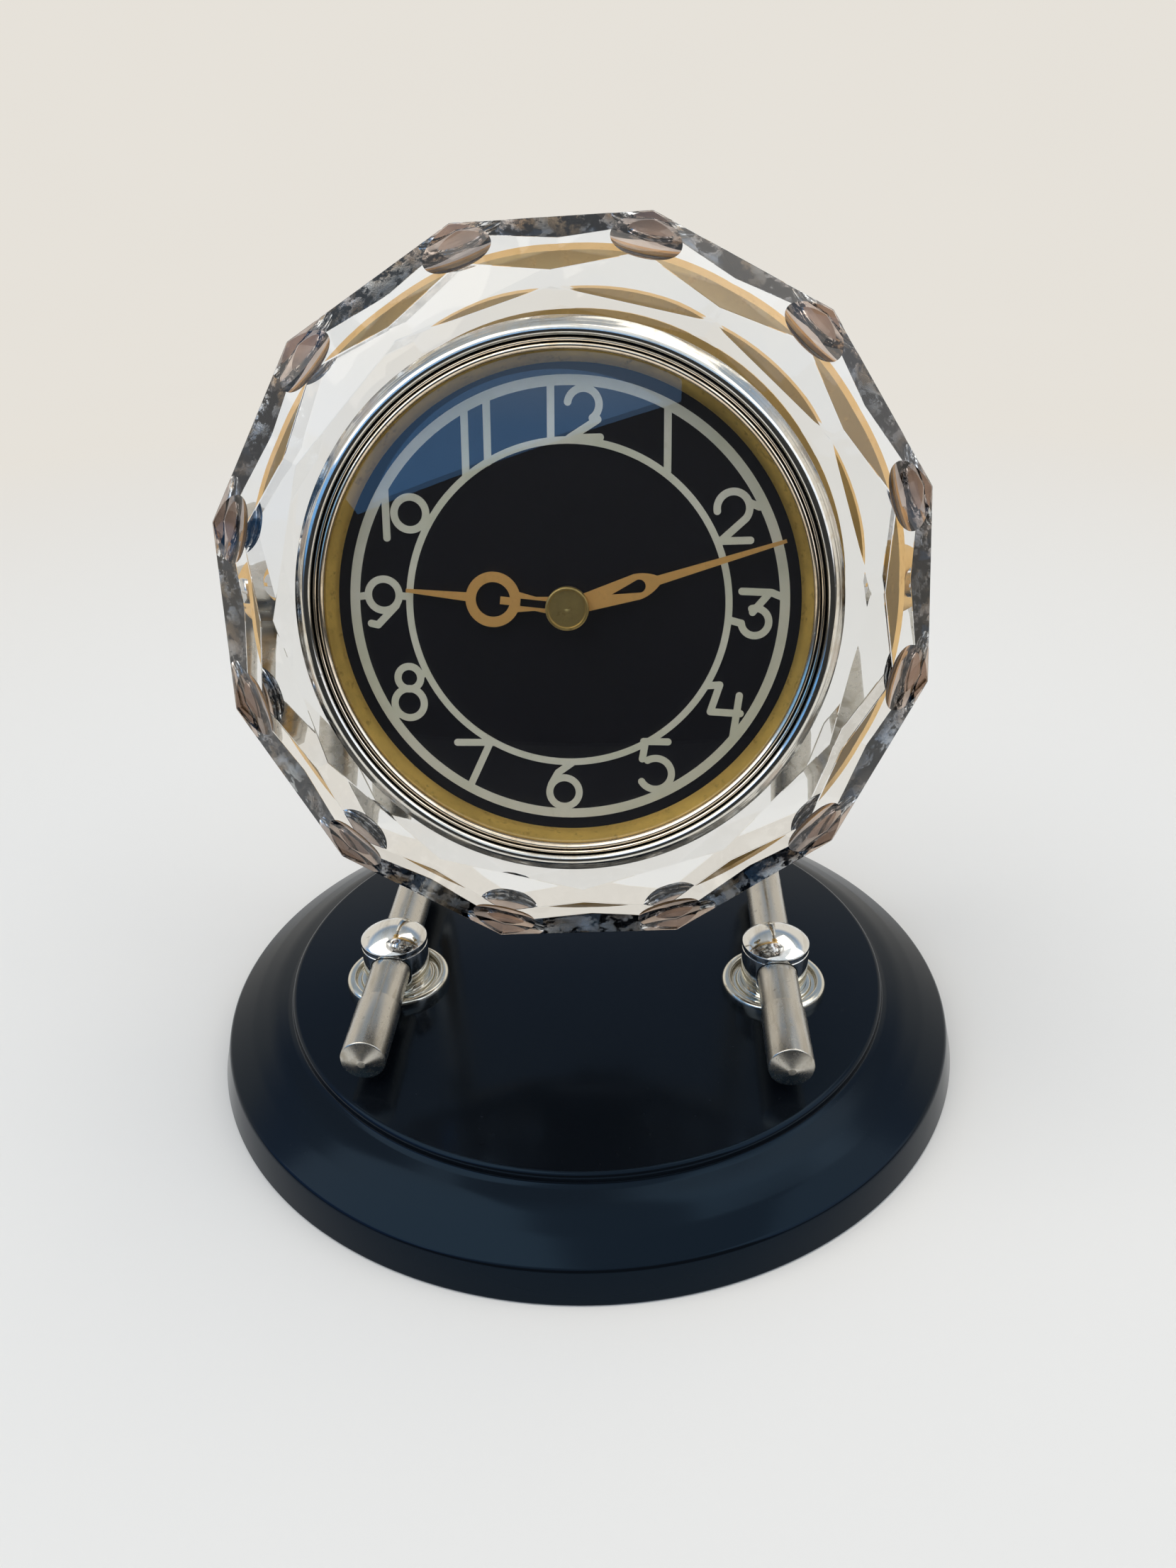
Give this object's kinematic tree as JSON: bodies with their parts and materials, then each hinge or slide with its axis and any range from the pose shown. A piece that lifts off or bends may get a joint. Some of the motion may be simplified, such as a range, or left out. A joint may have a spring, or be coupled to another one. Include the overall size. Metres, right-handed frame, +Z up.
{
  "type": "crystal table clock",
  "caption": "Round table clock in a thick ring of cut clear crystal, leaning back on two nickel rods over a round black moulded foot.",
  "frame": {"origin": "centre of the foot's underside, on the ground", "axes": "+Z up, front of the dial towards -Y, +X to the right of someone who faces the dial"},
  "size_m": [0.14, 0.14, 0.1437],
  "materials": {
    "base_shell": "glossy moulded black",
    "base_weight": "raw plate",
    "base_pad": "green felt",
    "base_screw": "bright",
    "post": "polished",
    "post_ring": "nickel, slightly yellow",
    "post_nut": "plain",
    "rod": "worn nickel",
    "rod_tip": "worn nickel",
    "crystal_body": "cut and polished",
    "front_gasket": "black seal",
    "rear_gasket": "black seal",
    "case_tube": "nickel coloured",
    "bezel_ring": "turned and polished",
    "dial_glass": "clear",
    "rehaut_ring": "aged gilding with dark spots",
    "dial_plate": "glossy black",
    "dial_numerals": "pale luminous paint",
    "movement_ring": "black spacer",
    "rear_frame": "gilt",
    "back_cover": "spun",
    "movement_steel": "polished",
    "movement_brass": "lacquered",
    "minute_hand": "copper gold",
    "hub_cap": "aged, bright rim",
    "setting_knob": "fluted",
    "hour_hand": "copper gold",
    "winding_key": "stamped"
  },
  "bodies": {
    "stand_and_case": {"base_shell": "base_shell", "base_weight": "base_weight", "base_pad": "base_pad", "base_screw_1": "base_screw", "base_screw_2": "base_screw", "base_screw_3": "base_screw", "post_left": "post", "post_right": "post", "post_ring_left": "post_ring", "post_ring_right": "post_ring", "post_nut_left": "post_nut", "post_nut_right": "post_nut", "rod_left": "rod", "rod_right": "rod", "rod_tip_left": "rod_tip", "rod_tip_right": "rod_tip", "crystal_body": "crystal_body", "front_gasket": "front_gasket", "rear_gasket": "rear_gasket", "case_tube": "case_tube", "bezel_ring": "bezel_ring", "dial_glass": "dial_glass", "rehaut_ring": "rehaut_ring", "dial_plate": "dial_plate", "dial_numerals": "dial_numerals", "movement_ring": "movement_ring", "rear_frame": "rear_frame", "back_cover": "back_cover", "back_screw_1": "movement_steel", "back_screw_2": "movement_steel", "rod_screw_left": "movement_steel", "rod_screw_right": "movement_steel", "front_plate": "movement_brass", "back_plate": "movement_brass", "pillar_1": "movement_brass", "pillar_2": "movement_brass", "pillar_3": "movement_brass", "hairspring": "movement_steel"},
    "minute_arbor": {"centre_arbor": "movement_steel", "cannon_pinion": "movement_steel", "minute_hand": "minute_hand", "hub_cap": "hub_cap", "setting_knob": "setting_knob"},
    "hour_pipe": {"hour_wheel": "movement_brass", "hour_hand": "hour_hand"},
    "minute_work": {"minute_wheel": "movement_brass"},
    "centre_mobile": {"centre_wheel": "movement_brass"},
    "third_mobile": {"third_wheel": "movement_brass"},
    "fourth_mobile": {"fourth_wheel": "movement_brass"},
    "escape_mobile": {"escape_wheel": "movement_brass"},
    "intermediate_mobile": {"intermediate_wheel": "movement_brass"},
    "barrel": {"mainspring_barrel": "movement_brass", "mainspring": "movement_steel"},
    "winding_arbor": {"barrel_arbor": "movement_steel", "ratchet_wheel": "movement_steel", "winding_key": "winding_key"},
    "click": {"click": "movement_steel"},
    "lever": {"pallet_lever": "movement_steel"},
    "balance": {"balance_wheel": "movement_brass"},
    "regulator": {"regulator_lever": "movement_steel"}
  },
  "joints": [
    {"name": "minute_arbor_turn", "type": "hinge", "parent": "stand_and_case", "child": "minute_arbor", "pos_m": [0, -0.01198, 0.08988], "axis": [0, -0.9736, 0.2284], "continuous": true},
    {"name": "hour_pipe_turn", "type": "hinge", "parent": "stand_and_case", "child": "hour_pipe", "pos_m": [0, -0.01198, 0.08988], "axis": [0, -0.9736, 0.2284], "continuous": true},
    {"name": "minute_work_turn", "type": "hinge", "parent": "stand_and_case", "child": "minute_work", "pos_m": [0.0036, -0.0134, 0.08381], "axis": [0, -0.9736, 0.2284], "continuous": true},
    {"name": "fourth_turn", "type": "hinge", "parent": "stand_and_case", "child": "fourth_mobile", "pos_m": [0.00454, -0.00866, 0.10405], "axis": [0, -0.9736, 0.2284], "continuous": true},
    {"name": "centre_turn", "type": "hinge", "parent": "stand_and_case", "child": "centre_mobile", "pos_m": [0, -0.01198, 0.08988], "axis": [0, -0.9736, 0.2284], "continuous": true},
    {"name": "third_turn", "type": "hinge", "parent": "stand_and_case", "child": "third_mobile", "pos_m": [0.00921, -0.01051, 0.09617], "axis": [0, -0.9736, 0.2284], "continuous": true},
    {"name": "escape_turn", "type": "hinge", "parent": "stand_and_case", "child": "escape_mobile", "pos_m": [-0.00423, -0.00848, 0.10479], "axis": [0, -0.9736, 0.2284], "continuous": true},
    {"name": "intermediate_turn", "type": "hinge", "parent": "stand_and_case", "child": "intermediate_mobile", "pos_m": [-0.00901, -0.01342, 0.08374], "axis": [0, -0.9736, 0.2284], "continuous": true},
    {"name": "barrel_turn", "type": "hinge", "parent": "stand_and_case", "child": "barrel", "pos_m": [0.0028, -0.01558, 0.07455], "axis": [0, -0.9736, 0.2284], "continuous": true},
    {"name": "winding_turn", "type": "hinge", "parent": "stand_and_case", "child": "winding_arbor", "pos_m": [0.0028, -0.01558, 0.07455], "axis": [0, -0.9736, 0.2284], "continuous": true},
    {"name": "click_swing", "type": "hinge", "parent": "stand_and_case", "child": "click", "pos_m": [0.00712, -0.01372, 0.08245], "axis": [0, -0.9736, 0.2284], "range_deg": [0, 12]},
    {"name": "lever_swing", "type": "hinge", "parent": "stand_and_case", "child": "lever", "pos_m": [-0.01112, -0.00876, 0.10361], "axis": [0, -0.9736, 0.2284], "range_deg": [-6, 6]},
    {"name": "balance_swing", "type": "hinge", "parent": "stand_and_case", "child": "balance", "pos_m": [-0.01816, -0.00989, 0.09881], "axis": [0, -0.9736, 0.2284], "range_deg": [-150, 150], "stiffness_Nm_per_rad": 0.0000074},
    {"name": "regulator_swing", "type": "hinge", "parent": "stand_and_case", "child": "regulator", "pos_m": [-0.01816, -0.00989, 0.09881], "axis": [0, -0.9736, 0.2284], "range_deg": [-20, 20]}
  ],
  "couplings": [
    {"joint": "hour_pipe_turn", "follows": "minute_arbor_turn", "ratio": 0.083333},
    {"joint": "minute_work_turn", "follows": "minute_arbor_turn", "ratio": -0.33333},
    {"joint": "centre_turn", "follows": "fourth_turn", "ratio": 0.016667},
    {"joint": "third_turn", "follows": "fourth_turn", "ratio": -0.13333},
    {"joint": "escape_turn", "follows": "fourth_turn", "ratio": -10},
    {"joint": "intermediate_turn", "follows": "fourth_turn", "ratio": -0.0037037},
    {"joint": "barrel_turn", "follows": "fourth_turn", "ratio": 0.00061728}
  ]
}
